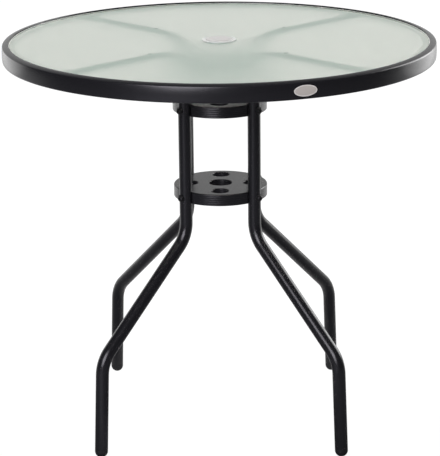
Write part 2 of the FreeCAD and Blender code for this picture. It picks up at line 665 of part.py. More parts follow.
def hole_ring():
    """Flanged ring that lines the hole in the glass and snaps in below it."""
    bore = RING_BORE_RADIUS
    flange_top = GLASS_TOP + RING_FLANGE_THICKNESS
    bottom = GLASS_BOTTOM - RING_BELOW_GLASS
    ring = revolved(
        [(bore, bottom), (RING_COLLAR_RADIUS, bottom), (RING_COLLAR_RADIUS, GLASS_TOP),
         (RING_FLANGE_RADIUS, GLASS_TOP), (RING_FLANGE_RADIUS, flange_top), (bore, flange_top)],
        {1: RING_EDGE_ROUND, 4: RING_EDGE_ROUND})
    inner = (RING_BORE_RADIUS + RING_COLLAR_RADIUS) / 2.0
    snap_top = GLASS_BOTTOM - SNUG_GAP
    tip = Vector(SNAP_RADIUS, 0, snap_top)
    heel = Vector(RING_COLLAR_RADIUS, 0, snap_top - SNAP_HEIGHT)
    corners = [Vector(inner, 0, snap_top), tip, heel, Vector(inner, 0, heel.z)]
    snap = Part.Face(Part.makePolygon(corners + corners[:1]))
    sweep = degrees(SNAP_WIDTH / RING_COLLAR_RADIUS)
    snap = snap.revolve(Vector(0, 0, 0), Vector(0, 0, 1), sweep)
    snaps = [turned(snap, i * 360.0 / SNAP_COUNT - sweep / 2.0) for i in range(SNAP_COUNT)]
    return ring.fuse(snaps).removeSplitter()


def hole_cap():
    """Domed cap over the ring with a thin skirt that drops into the bore."""
    seat = GLASS_TOP + RING_FLANGE_THICKNESS
    skirt = RING_BORE_RADIUS - CAP_PLUG_GAP
    sphere_radius = (CAP_RADIUS ** 2 + CAP_DOME ** 2) / (2.0 * CAP_DOME)
    centre = Vector(0, 0, seat + CAP_EDGE + CAP_DOME - sphere_radius)
    disc = Part.makeCylinder(CAP_RADIUS, CAP_EDGE + CAP_DOME, Vector(0, 0, seat))
    dome = disc.common(Part.makeSphere(sphere_radius, centre))
    shoulder = [e for e in dome.Edges if abs(e.BoundBox.ZMin - seat - CAP_EDGE) < 0.05
                and e.BoundBox.ZLength < 0.01]
    dome = dome.makeFillet(CAP_EDGE_ROUND, shoulder)
    plug = Part.makeCylinder(skirt, CAP_PLUG_LENGTH, Vector(0, 0, seat - CAP_PLUG_LENGTH))
    well = Part.makeCylinder(skirt - CAP_SKIN, CAP_PLUG_LENGTH + CAP_EDGE + CAP_DOME,
                             Vector(0, 0, seat - CAP_PLUG_LENGTH))
    # The hollow ends a skin's thickness below the dome.
    hollow = well.common(Part.makeSphere(sphere_radius - CAP_SKIN, centre))
    return dome.fuse(plug).cut(hollow).removeSplitter()


def at_heights(maker, bottom):
    """Four of one hub fastener at the mid height of a hub."""
    return around(maker(bottom + HUB_HEIGHT / 2.0))


def make_pieces():
    """Every piece of the table by its name."""
    pieces = {
        "table_rim": rim_band(),
        "glass_support_ring": support_ring(),
        "rim_brackets": around(rim_bracket()),
        "glass_edge_strip": edge_strip(),
        "glass_top": glass_sheet(),
        "arm_bumpers": around(bumper()),
        "rim_bolts": around(rim_bolt()),
        "rim_washers": around(flat_washer(RIM_BOLT_RADIUS, ARM_HEIGHT - TONGUE_THICKNESS / 2.0
                                          - WASHER_THICKNESS)),
        "rim_nuts": around(rim_nut()),
        "umbrella_hole_ring": hole_ring(),
        "umbrella_hole_cap": hole_cap(),
    }
    bent_leg = leg()
    plug = foot_plug()
    for i, name in enumerate(LEG_NAMES):
        pieces["leg_" + name] = turned(bent_leg, leg_angle(i))
        pieces["foot_plug_" + name] = turned(plug, leg_angle(i))
    for name, bottom in HUB_BOTTOMS.items():
        pieces[name + "_hub"] = hub(bottom)
        pieces[name + "_hub_bolts"] = at_heights(hub_bolt, bottom)
        pieces[name + "_hub_saddle_washers"] = at_heights(saddle_washer, bottom)
        pieces[name + "_hub_nuts"] = at_heights(hub_nut, bottom)
    return pieces


os.makedirs("parts", exist_ok=True)
for piece_name, piece in make_pieces().items():
    solids = piece.Solids
    print(piece_name, len(solids), "solid(s)", "valid" if piece.isValid() else "NOT VALID",
          round(sum(s.Volume for s in solids) / 1000.0, 2), "cm3")
    piece.exportStep("parts/" + piece_name + ".step")
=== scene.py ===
"""Looks of a round patio table with an umbrella hole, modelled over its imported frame.

The frosted glass lies in a black steel rim on four bent tube legs, which are bolted to two
pressed hubs. Sizes are in metres; the front is -Y and the legs stand on the diagonals.
"""

import logging
from collections.abc import Callable, Iterable, Iterator
from contextlib import contextmanager
from dataclasses import dataclass
from enum import Enum
from math import acos, pi, radians, sin, sqrt, tan

import bmesh
import bpy
from mathutils import Matrix, Vector


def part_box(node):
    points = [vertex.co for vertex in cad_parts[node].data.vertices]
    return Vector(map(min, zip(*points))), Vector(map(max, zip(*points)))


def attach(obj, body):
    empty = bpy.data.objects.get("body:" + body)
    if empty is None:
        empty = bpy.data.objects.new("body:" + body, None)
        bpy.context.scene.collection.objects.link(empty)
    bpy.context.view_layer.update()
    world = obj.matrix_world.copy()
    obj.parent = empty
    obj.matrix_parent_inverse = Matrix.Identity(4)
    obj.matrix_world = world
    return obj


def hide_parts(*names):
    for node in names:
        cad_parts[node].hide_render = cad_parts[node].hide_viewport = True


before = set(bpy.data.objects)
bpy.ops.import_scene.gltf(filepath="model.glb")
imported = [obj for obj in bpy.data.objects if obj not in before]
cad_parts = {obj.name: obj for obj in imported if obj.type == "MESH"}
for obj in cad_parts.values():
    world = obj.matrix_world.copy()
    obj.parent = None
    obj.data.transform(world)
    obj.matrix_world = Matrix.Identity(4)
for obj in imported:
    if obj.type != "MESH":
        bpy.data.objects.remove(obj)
LOG = logging.getLogger("umbrella_table")
Piece = bpy.types.Object
Triple = tuple[float, float, float]
Colour = tuple[float, float, float, float]

TABLE_BODY = "table"
RIM_RADIUS = 0.400
ROUND_STEPS = 256
MERGE = 1e-6


class Corner(Enum):
    """The four places of what repeats at every leg, by the leg's angle from above."""

    REAR_RIGHT = 45.0
    REAR_LEFT = 135.0
    FRONT_LEFT = 225.0
    FRONT_RIGHT = 315.0

    @property
    def word(self) -> str:
        """The corner's name as the nodes of the frame have it."""
        return self.name.lower()


class Pick(Enum):
    """What is selected in edit mode."""

    VERTS = "VERT"
    EDGES = "EDGE"
    FACES = "FACE"


# Modelling helpers

def solo(piece: Piece) -> None:
    """Leaves one piece selected and active, and nothing else.

    Args:
        piece: The piece that the next operators act on.
    """
    bpy.ops.object.select_all(action="DESELECT")
    piece.select_set(True)
    bpy.context.view_layer.objects.active = piece


@contextmanager
def editing(piece: Piece, kind: Pick = Pick.VERTS) -> Iterator[Piece]:
    """Opens a piece in edit mode with nothing selected, and closes it again.

    Args:
        piece: The mesh object to shape.
        kind: What the selection holds while it is open.

    Yields:
        The same piece.
    """
    solo(piece)
    bpy.ops.object.mode_set(mode="EDIT")
    bpy.ops.mesh.select_mode(type=kind.value)
    bpy.ops.mesh.select_all(action="DESELECT")
    yield piece
    bpy.ops.object.mode_set(mode="OBJECT")


def pick_verts(piece: Piece, wanted: Callable[[Vector], bool]) -> None:
    """Selects, in edit mode, only the vertices whose place passes a test.

    Args:
        piece: The piece that is open in edit mode.
        wanted: The test of a vertex's place.
    """
    mesh = bmesh.from_edit_mesh(piece.data)
    for vert in mesh.verts:
        vert.select = wanted(vert.co)
    mesh.select_flush_mode()
    bmesh.update_edit_mesh(piece.data)


def pick_edges(piece: Piece, wanted: Callable[[Vector, Vector], bool]) -> None:
    """Selects, in edit mode, only the edges whose two ends pass a test."""
    edges = bmesh.from_edit_mesh(piece.data).edges
    keep_only(piece, edges, [edge for edge in edges if wanted(*(vert.co for vert in edge.verts))])


def pick_faces(piece: Piece, wanted: Callable[[Vector, Vector], bool]) -> None:
    """Selects, in edit mode, only the faces whose middle and normal pass a test."""
    faces = bmesh.from_edit_mesh(piece.data).faces
    keep_only(piece, faces,
              [face for face in faces if wanted(face.calc_center_median(), face.normal)])


def keep_only(piece: Piece, parts: Iterable[object], chosen: Iterable[object]) -> None:
    """Leaves only some edges or faces selected.

    Args:
        piece: The piece that is open in edit mode.
        parts: All its edges or all its faces.
        chosen: Those that stay selected.
    """
    for part in parts:
        part.select_set(False)
    for part in chosen:
        part.select_set(True)
    bmesh.update_edit_mesh(piece.data)


def near(value: float, goal: float, slack: float = 1e-5) -> bool:
    """Whether two lengths agree within a hundredth of a millimetre."""
    return abs(value - goal) < slack


def section(name: str, inner: float, outer: float, low: float, high: float) -> Piece:
    """Starts the section of a turned ring as a rectangle in the XZ plane.

    Args:
        name: Name of the piece.
        inner: Radius of the section's inner side.
        outer: Radius of its outer side.
        low: Height of its underside.
        high: Height of its top.

    Returns:
        The flat piece, with its place in its mesh.
    """
    middle = Vector(((inner + outer) / 2, 0, (low + high) / 2))
    bpy.ops.object.select_all(action="DESELECT")
    bpy.ops.mesh.primitive_plane_add(size=1.0, location=middle, rotation=(pi / 2, 0, 0))
    piece = bpy.context.active_object
    piece.name = name
    bpy.ops.object.transform_apply()
    with editing(piece):
        bpy.ops.mesh.select_all(action="SELECT")
        bpy.ops.transform.resize(value=(outer - inner, 1, high - low), center_override=middle)
    return piece


def round_corners(piece: Piece, radius: float, steps: int, *corners: tuple[float, float]) -> None:
    """Rounds corners of a flat section.

    Args:
        piece: The section in the XZ plane.
        radius: Radius of the rounding.
        steps: Segments of each rounding.
        corners: Each corner's distance from the axis and height.
    """
    with editing(piece):
        pick_verts(piece, lambda co: any(near(co.x, x) and near(co.z, z) for x, z in corners))
        bpy.ops.mesh.bevel(offset=radius, segments=steps, affect="VERTICES")


def spin_round(piece: Piece, steps: int = ROUND_STEPS) -> Piece:
    """Turns a flat section about the table's axis into a closed ring and shades it.

    Args:
        piece: The section in the XZ plane.
        steps: Segments round the whole turn.

    Returns:
        The same piece, finished.
    """
    with editing(piece):
        bpy.ops.mesh.select_all(action="SELECT")
        bpy.ops.mesh.delete(type="ONLY_FACE")
        bpy.ops.mesh.select_all(action="SELECT")
        bpy.ops.mesh.spin(steps=steps, angle=2 * pi, center=(0, 0, 0), axis=(0, 0, 1))
        mend()
    smooth(piece)
    return piece


def mend() -> None:
    """Merges doubles and turns every face outwards on the piece that is open in edit mode."""
    bpy.ops.mesh.select_all(action="SELECT")
    bpy.ops.mesh.remove_doubles(threshold=MERGE)
    bpy.ops.mesh.normals_make_consistent(inside=False)


def smooth(piece: Piece, angle: float = 35.0) -> None:
    """Shades a piece smooth with its flats left flat.

    Args:
        piece: The finished piece.
        angle: Edges sharper than this, in degrees, stay sharp.
    """
    solo(piece)
    bpy.ops.object.shade_smooth_by_angle(angle=radians(angle))
    use_modifier(piece, "WEIGHTED_NORMAL", mode="FACE_AREA", weight=50, keep_sharp=True)


def turned_copy(piece: Piece, name: str, angle: float) -> Piece:
    """Copies a piece with its own mesh and turns the copy about the table's axis.

    Args:
        piece: The piece to copy.
        name: Name of the copy.
        angle: Turn in degrees.

    Returns:
        The copy, with its place in its mesh.
    """
    solo(piece)
    bpy.ops.object.duplicate(linked=False)
    copy = bpy.context.active_object
    copy.name = name
    copy.rotation_euler.z = radians(angle)
    bpy.ops.object.transform_apply()
    return copy


def use_modifier(piece: Piece, kind: str, **settings: object) -> None:
    """Adds a modifier to a piece and applies it.

    Args:
        piece: The piece that it shapes.
        kind: The modifier's type.
        settings: Its properties by name.
    """
    solo(piece)
    modifier = piece.modifiers.new(kind.title(), kind)
    for key, value in settings.items():
        setattr(modifier, key, value)
    bpy.ops.object.modifier_apply(modifier=modifier.name)


# Shader helpers

class Value:
    """A number that varies over a surface, so that shader maths reads as Python."""

    def __init__(self, shader: "Shader", socket: bpy.types.NodeSocket) -> None:
        """Wraps one output socket of a shader."""
        self.shader = shader
        self.socket = socket

    def _maths(self, operation: str, first: object, second: object) -> "Value":
        """Adds a Math node.

        Args:
            operation: What it does.
            first: Its first value or number.
            second: Its second one.

        Returns:
            The result.
        """
        node = self.shader.node("ShaderNodeMath", {"operation": operation},
                                {0: first, 1: second})
        return Value(self.shader, node.outputs[0])

    def __add__(self, other: object) -> "Value":
        """self + other"""
        return self._maths("ADD", self, other)

    def __radd__(self, other: object) -> "Value":
        """other + self"""
        return self._maths("ADD", other, self)

    def __sub__(self, other: object) -> "Value":
        """self - other"""
        return self._maths("SUBTRACT", self, other)

    def __rsub__(self, other: object) -> "Value":
        """other - self"""
        return self._maths("SUBTRACT", other, self)

    def __mul__(self, other: object) -> "Value":
        """self * other"""
        return self._maths("MULTIPLY", self, other)

    def __rmul__(self, other: object) -> "Value":
        """other * self"""
        return self._maths("MULTIPLY", other, self)

    def __truediv__(self, other: object) -> "Value":
        """self / other"""
        return self._maths("DIVIDE", self, other)

    def __rtruediv__(self, other: object) -> "Value":
        """other / self"""
        return self._maths("DIVIDE", other, self)

    def sine(self) -> "Value":
        """The sine of self, an angle in radians."""
        return self._maths("SINE", self, 0.0)

    def larger(self, other: object) -> "Value":
        """The larger of self and other."""
        return self._maths("MAXIMUM", self, other)


class Shader:
    """Builds the nodes of one material or of the world."""

    def __init__(self, tree: bpy.types.NodeTree) -> None:
        """Starts from an empty node tree."""
        self.tree = tree
        tree.nodes.clear()

    def node(self, kind: str, settings: dict[str, object] | None = None,
             inputs: dict[object, object] | None = None) -> bpy.types.Node:
        """Adds one node.

        Args:
            kind: The node's type.
            settings: Properties that are set before the sockets.
            inputs: Values or links by the socket's name or number.

        Returns:
            The new node.
        """
        node = self.tree.nodes.new(kind)
        for key, value in (settings or {}).items():
            setattr(node, key, value)
        for key, value in (inputs or {}).items():
            socket = node.inputs[key]
            if isinstance(value, Value):
                self.tree.links.new(value.socket, socket)
            elif isinstance(value, bpy.types.NodeSocket):
                self.tree.links.new(value, socket)
            else:
                socket.default_value = value
        return node

    def place(self) -> bpy.types.NodeSocket:
        """Where a point of the surface is, in metres."""
        return self.node("ShaderNodeTexCoord").outputs["Object"]

    def axes(self) -> tuple[Value, Value, Value]:
        """The three coordinates of a point of the surface, in metres."""
        node = self.node("ShaderNodeSeparateXYZ", inputs={0: self.place()})
        return tuple(Value(self, socket) for socket in node.outputs)

    def reach(self) -> Value:
        """Measures from the table's axis.

        Returns:
            How far a point of the surface is from it, in metres.
        """
        level = self.node("ShaderNodeVectorMath", {"operation": "MULTIPLY"},
                          {0: self.place(), 1: (1, 1, 0)})
        length = self.node("ShaderNodeVectorMath", {"operation": "LENGTH"},
                           {0: level.outputs["Vector"]})
        return Value(self, length.outputs["Value"])

    def noise(self, scale: float, detail: float = 2.0, roughness: float = 0.5) -> Value:
        """Soft random pattern from 0 to 1.

        Args:
            scale: Waves per metre.
            detail: Octaves of finer noise.
            roughness: Strength of the finer octaves.

        Returns:
            The pattern.
        """
        node = self.node("ShaderNodeTexNoise", inputs={
            "Vector": self.place(), "Scale": scale, "Detail": detail, "Roughness": roughness})
        return Value(self, node.outputs["Fac"])

    def blend(self, share: object, first: object, second: object) -> bpy.types.NodeSocket:
        """Mixes two colours, from the first at a share of 0 to the second at 1."""
        node = self.node("ShaderNodeMix", {"data_type": "RGBA"}, {0: share, 6: first, 7: second})
        return node.outputs[2]

    def ramp(self, value: Value, low: float, high: float) -> Value:
        """Runs smoothly from 0 to 1.

        Args:
            value: The value that it follows.
            low: Where it starts from 0.
            high: Where it reaches 1.

        Returns:
            The share.
        """
        node = self.node("ShaderNodeMapRange", {"interpolation_type": "SMOOTHSTEP"},
                         {"Value": value, "From Min": low, "From Max": high})
        return Value(self, node.outputs["Result"])

    def bump(self, height: Value, depth: float, strength: float = 1.0) -> bpy.types.NodeSocket:
        """Surface relief from a pattern.

        Args:
            height: The pattern, from 0 to 1, or in metres where its depth is 1.
            depth: Its height in metres.
            strength: How strongly it shows.

        Returns:
            The socket for a shader's normal.
        """
        node = self.node("ShaderNodeBump", inputs={
            "Height": height, "Distance": depth, "Strength": strength})
        return node.outputs["Normal"]

    def principled(self, **inputs: object) -> bpy.types.NodeSocket:
        """Adds a Principled shader; underscores in names stand for spaces."""
        named = {key.replace("_", " "): value for key, value in inputs.items()}
        return self.node("ShaderNodeBsdfPrincipled", inputs=named).outputs[0]

    def mixed(self, share: object, first: bpy.types.NodeSocket,
              second: bpy.types.NodeSocket) -> bpy.types.NodeSocket:
        """Mixes two shaders, from the first at a share of 0 to the second at 1."""
        node = self.node("ShaderNodeMixShader", inputs={0: share, 1: first, 2: second})
        return node.outputs[0]

    def end(self, shader: bpy.types.NodeSocket) -> None:
        """Ends the material in a shader."""
        self.node("ShaderNodeOutputMaterial", inputs={"Surface": shader})

    def surface(self, **inputs: object) -> None:
        """Ends the material in one Principled shader."""
        self.end(self.principled(**inputs))


# Finishes

def darker(colour: Colour, share: float) -> Colour:
    """A colour with its three parts brought down to a share of them."""
    return tuple(share * part for part in colour[:3]) + (1.0,)


@dataclass(frozen=True)
class Finish:
    """A finish that pieces can be given."""

    name: str

    def paint(self, shader: Shader) -> None:
        """Builds the finish's nodes, as each kind of finish does in its own way."""
        raise NotImplementedError

    def material(self) -> bpy.types.Material:
        """Makes the finish's material the first time that it is asked for.

        Returns:
            The material.
        """
        material = bpy.data.materials.get(self.name)
        if material is None:
            material = bpy.data.materials.new(self.name)
            material.use_nodes = True
            self.paint(Shader(material.node_tree))
        return material

    def give(self, piece: Piece) -> None:
        """Puts the finish on every face of a piece."""
        piece.data.materials.clear()
        piece.data.materials.append(self.material())


@dataclass(frozen=True)
class PowderCoat(Finish):
    """Baked black powder on steel: satin, with the fine waves of orange peel."""

    light: Colour = (0.0125, 0.0125, 0.0145, 1)
    dark: Colour = (0.0095, 0.0095, 0.011, 1)
    cloud_waves: float = 9.0
    smoothest: float = 0.22
    roughest: float = 0.29
    gloss_waves: float = 140.0
    peel_waves: float = 620.0
    peel_depth: float = 0.000012

    def relief(self, shader: Shader) -> Value:
        """Height of the surface's relief in metres."""
        return shader.noise(self.peel_waves, 1.0) * self.peel_depth

    def paint(self, shader: Shader) -> None:
        """Builds the finish's nodes.

        Args:
            shader: The empty shader of its material.
        """
        cloud = shader.noise(self.cloud_waves, 3.0)
        spread = self.roughest - self.smoothest
        shader.surface(
            Base_Color=shader.blend(cloud, self.dark, self.light),
            Roughness=shader.noise(self.gloss_waves, 4.0) * spread + self.smoothest,
            Normal=shader.bump(self.relief(shader), 1.0))


@dataclass(frozen=True)
class DrawnCoat(PowderCoat):
    """The same powder over pressed steel, whose drawn sides keep faint level rings."""

    ring_pitch: float = 0.0038
    ring_depth: float = 0.0002

    def relief(self, shader: Shader) -> Value:
        """Height of the surface's relief in metres."""
        rings = (shader.axes()[2] * (2 * pi / self.ring_pitch)).sine()
        return super().relief(shader) + rings * (self.ring_depth / 2)


@dataclass(frozen=True)
class FrostedGlass(Finish):
    """Tempered sheet with a polished top, an etched underside and a green tint."""

    tint: Colour = (0.87, 0.735, 0.72, 1)
    milk: float = 0.18
    milk_colour: Colour = (0.48, 0.82, 0.64, 1)
    index: float = 1.5
    polished: float = 0.05
    etched: float = 0.56
    etched_spread: float = 0.1
    grain_waves: float = 2400.0
    grain_depth: float = 0.000004
    grain_strength: float = 0.5
    face_share: float = 0.1

    def paint(self, shader: Shader) -> None:
        """Builds the finish's nodes.

        Args:
            shader: The empty shader of its material.
        """
        low, high = (corner.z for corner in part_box("glass_top"))
        margin = self.face_share * (high - low)
        top = shader.ramp(shader.axes()[2], low + margin, high - margin)
        grain = shader.noise(self.grain_waves, 1.0)
        etched = self.etched - grain * self.etched_spread
        relief = shader.bump(grain * (1 - top), self.grain_depth, self.grain_strength)
        face = {"Roughness": etched + top * (self.polished - etched), "IOR": self.index,
                "Normal": relief}
        clear = shader.principled(Base_Color=self.tint, Transmission_Weight=1.0, **face)
        milky = shader.principled(Base_Color=self.milk_colour, **face)
        shader.end(shader.mixed(self.milk, clear, milky))


@dataclass(frozen=True)
class Moulded(Finish):
    """Moulded plastic or soft vinyl, with a fine grain."""

    colour: Colour = (0.012, 0.012, 0.013, 1)
    roughness: float = 0.5
    clearness: float = 0.0
    index: float = 1.48
    cloud_waves: float = 60.0
    cloud_shade: float = 0.88
    grain_waves: float = 900.0
    grain_depth: float = 0.00002
    grain_strength: float = 0.4
    gloss_spread: float = 0.14

    def paint(self, shader: Shader) -> None:
        """Builds the finish's nodes.

        Args:
            shader: The empty shader of its material.
        """
        grain = shader.noise(self.grain_waves, 2.0)
        cloud = shader.noise(self.cloud_waves, 3.0)
        shader.surface(
            Base_Color=shader.blend(cloud, darker(self.colour, self.cloud_shade), self.colour),
            Roughness=(grain - 0.5) * self.gloss_spread + self.roughness,
            Transmission_Weight=self.clearness,
            IOR=self.index,
            Normal=shader.bump(grain, self.grain_depth, self.grain_strength))


@dataclass(frozen=True)
class PlatedSteel(Finish):
    """Steel with a thin coat, black or zinc: metallic, with fine turning marks."""

    colour: Colour = (0.5, 0.5, 0.48, 1)
    metal: float = 1.0
    roughness: float = 0.35
    cloud_waves: float = 220.0
    cloud_shade: float = 0.8
    mark_waves: float = 1800.0
    mark_depth: float = 0.00001
    mark_strength: float = 0.5
    gloss_spread: float = 0.2

    def paint(self, shader: Shader) -> None:
        """Builds the finish's nodes.

        Args:
            shader: The empty shader of its material.
        """
        marks = shader.noise(self.mark_waves, 3.0)
        cloud = shader.noise(self.cloud_waves, 2.0)
        shader.surface(
            Base_Color=shader.blend(cloud, darker(self.colour, self.cloud_shade), self.colour),
            Metallic=self.metal,
            Roughness=(marks - 0.5) * self.gloss_spread + self.roughness,
            Normal=shader.bump(marks, self.mark_depth, self.mark_strength))


COAT = PowderCoat("black_powder_coat")
HUB_COAT = DrawnCoat("drawn_powder_coat")
GLASS = FrostedGlass("etched_glass")
WHITE_VINYL = Moulded("white_vinyl", (0.84, 0.85, 0.82, 1), 0.45)
CLEAR_VINYL = Moulded("clear_vinyl", (0.30, 0.33, 0.31, 1), 0.25, 0.6)
MILKY_PLASTIC = Moulded("milky_plastic", (0.67, 0.655, 0.635, 1), 0.3, 0.35)
RING_PLASTIC = Moulded("ring_plastic", (0.67, 0.69, 0.66, 1), 0.25, 0.2)
BLACK_PLASTIC = Moulded("moulded_black")
BLACK_STEEL = PlatedSteel("black_steel", (0.02, 0.02, 0.021, 1), 0.3, 0.32)
ZINC = PlatedSteel("zinc_plate")
PLATE_METAL = PlatedSteel("satin_plate", (0.80, 0.78, 0.72, 1), 0.0, 0.25)
PLATE_FIELD = Moulded("plate_field", (0.54, 0.51, 0.46, 1), 0.25)


# The table

@dataclass
class TableTop:
    """Rim, the ring that carries the glass, the edge strip and the glass."""

    radius: float = RIM_RADIUS
    inner: float = 0.387
    crown: float = 0.001
    top_fall: float = 0.003
    outer_round: float = 0.003
    shoulder_round: float = 0.0012
    inner_round: float = 0.0006
    ring_reach: float = 0.012
    ring_sheet: float = 0.002
    ring_drop: float = 0.007
    ring_round: float = 0.0006
    strip_sheet: float = 0.001
    strip_past_ring: float = 0.0005
    strip_round: float = 0.0003
    glass_hole: float = 0.027
    glass_round: float = 0.0012
    crown_cuts: int = 7
    top_cuts: int = 5

    def __post_init__(self) -> None:
        """Reads the heights from the frame."""
        self.bottom, self.top = (corner.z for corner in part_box("table_rim"))
        self.glass_low, self.glass_high = (corner.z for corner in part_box("glass_top"))
        self.ring_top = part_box("glass_support_ring")[1].z

    def rim(self) -> Piece:
        """Models the rolled band, crowned outside, with its top falling outward.

        Returns:
            The finished band.
        """
        shoulder = self.top - self.top_fall
        piece = section("rim_band", self.inner, self.radius, self.bottom, self.top)
        with editing(piece):
            pick_verts(piece, lambda co: near(co.x, self.radius) and near(co.z, self.top))
            bpy.ops.transform.translate(value=(0, 0, -self.top_fall))
        self.crown_side(piece, shoulder)
        self.round_top(piece, shoulder)
        side = self.radius - self.crown
        round_corners(piece, self.outer_round, 5, (side, self.bottom))
        round_corners(piece, self.shoulder_round, 5, (side, shoulder))
        round_corners(piece, self.inner_round, 3, (self.inner, self.bottom),
                      (self.inner, self.top))
        return spin_round(piece)

    def crown_side(self, piece: Piece, shoulder: float) -> None:
        """Bends the outer side of the band's section into a shallow arc.

        Args:
            piece: The section, whose outer side is one straight edge.
            shoulder: Height of that edge's upper end.
        """
        middle, half = (self.bottom + shoulder) / 2, (shoulder - self.bottom) / 2
        with editing(piece, Pick.EDGES):
            pick_edges(piece, lambda a, b: near(a.x, self.radius) and near(b.x, self.radius))
            bpy.ops.mesh.subdivide(number_cuts=self.crown_cuts)
        with editing(piece):
            for cut in range(self.crown_cuts + 2):
                share = 2 * cut / (self.crown_cuts + 1) - 1
                level = middle + share * half
                pick_verts(piece, lambda co: near(co.z, level) and co.x > self.radius - MERGE)
                bpy.ops.transform.translate(value=(-self.crown * share ** 2, 0, 0))

    def round_top(self, piece: Piece, shoulder: float) -> None:
        """Bends the top of the band's section into an arc that is level at its inner end.

        Args:
            piece: The section, whose top is one straight sloping edge.
            shoulder: Height of that edge's outer end.
        """
        width = self.radius - self.crown - self.inner
        radius = (width ** 2 + self.top_fall ** 2) / (2 * self.top_fall)
        with editing(piece, Pick.EDGES):
            pick_edges(piece, lambda a, b: min(a.z, b.z) > shoulder - MERGE)
            bpy.ops.mesh.subdivide(number_cuts=self.top_cuts)
        with editing(piece):
            for cut in range(1, self.top_cuts + 1):
                out = width * cut / (self.top_cuts + 1)
                chord = self.top - self.top_fall * out / width
                arc = self.top - radius + sqrt(radius ** 2 - out ** 2)
                pick_verts(piece, lambda co: near(co.x, self.inner + out) and near(co.z, chord))
                bpy.ops.transform.translate(value=(0, 0, arc - chord))

    def angle_section(self, name: str, inner: float, outer: float, low: float, sheet: float,
                      flange: float) -> Piece:
        """Starts the section of an angle: a level web with a flange at its outer edge.

        Args:
            name: Name of the piece.
            inner: Radius of the web's inner edge.
            outer: Radius of the flange's outer side.
            low: Height of the web's underside.
            sheet: Thickness of the web and the flange.
            flange: How far the flange stands above the web, or hangs below it where negative.

        Returns:
            The flat piece.
        """
        root = outer - sheet
        side = low + sheet if flange > 0 else low
        piece = section(name, inner, root, low, low + sheet)
        with editing(piece, Pick.EDGES):
            pick_edges(piece, lambda a, b: near(a.x, root) and near(b.x, root))
            bpy.ops.mesh.extrude_region_move(TRANSFORM_OT_translate={"value": (sheet, 0, 0)})
            pick_edges(piece, lambda a, b: near(a.z, side) and near(b.z, side)
                       and min(a.x, b.x) > root - MERGE)
            bpy.ops.mesh.extrude_region_move(TRANSFORM_OT_translate={"value": (0, 0, flange)})
            bpy.ops.mesh.select_all(action="SELECT")
            bpy.ops.mesh.dissolve_limited(angle_limit=radians(1))
        return piece

    def support_ring(self) -> Piece:
        """Models the rolled angle that carries the glass, its outer edge turned down.

        Returns:
            The finished ring.
        """
        tip, web = self.inner - self.ring_reach, self.inner - self.ring_sheet
        low = self.ring_top - self.ring_sheet
        piece = self.angle_section("support_ring", tip, self.inner, low, self.ring_sheet,
                                   self.ring_sheet - self.ring_drop)
        round_corners(piece, self.ring_round, 2, (tip, low), (tip, self.ring_top),
                      (web, self.ring_top - self.ring_drop))
        return spin_round(piece)

    def edge_strip(self) -> Piece:
        """Models the soft strip under and round the edge of the glass.

        Returns:
            The finished strip.
        """
        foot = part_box("glass_edge_strip")[0].z
        tip = self.inner - self.ring_reach - self.strip_past_ring
        piece = self.angle_section("edge_strip", tip, self.inner, foot, self.strip_sheet,
                                   self.glass_high - foot - self.strip_sheet)
        round_corners(piece, self.strip_round, 2,
                      (self.inner - self.strip_sheet, self.glass_high),
                      (self.inner, self.glass_high))
        return spin_round(piece)

    def glass(self) -> Piece:
        """Models the sheet with its hole and its ground edges.

        Returns:
            The finished sheet.
        """
        hole, edge = self.glass_hole, self.inner - self.strip_sheet
        piece = section("glass_sheet", hole, edge, self.glass_low, self.glass_high)
        round_corners(piece, self.glass_round, 3, (hole, self.glass_low),
                      (hole, self.glass_high), (edge, self.glass_low), (edge, self.glass_high))
        return spin_round(piece)

    def build(self) -> None:
        """Builds, dresses and mounts the top's pieces."""
        for piece, node, finish in (
                (self.rim(), "table_rim", COAT),
                (self.support_ring(), "glass_support_ring", COAT),
                (self.edge_strip(), "glass_edge_strip", WHITE_VINYL),
                (self.glass(), "glass_top", GLASS)):
            finish.give(piece)
            mount(piece, node)


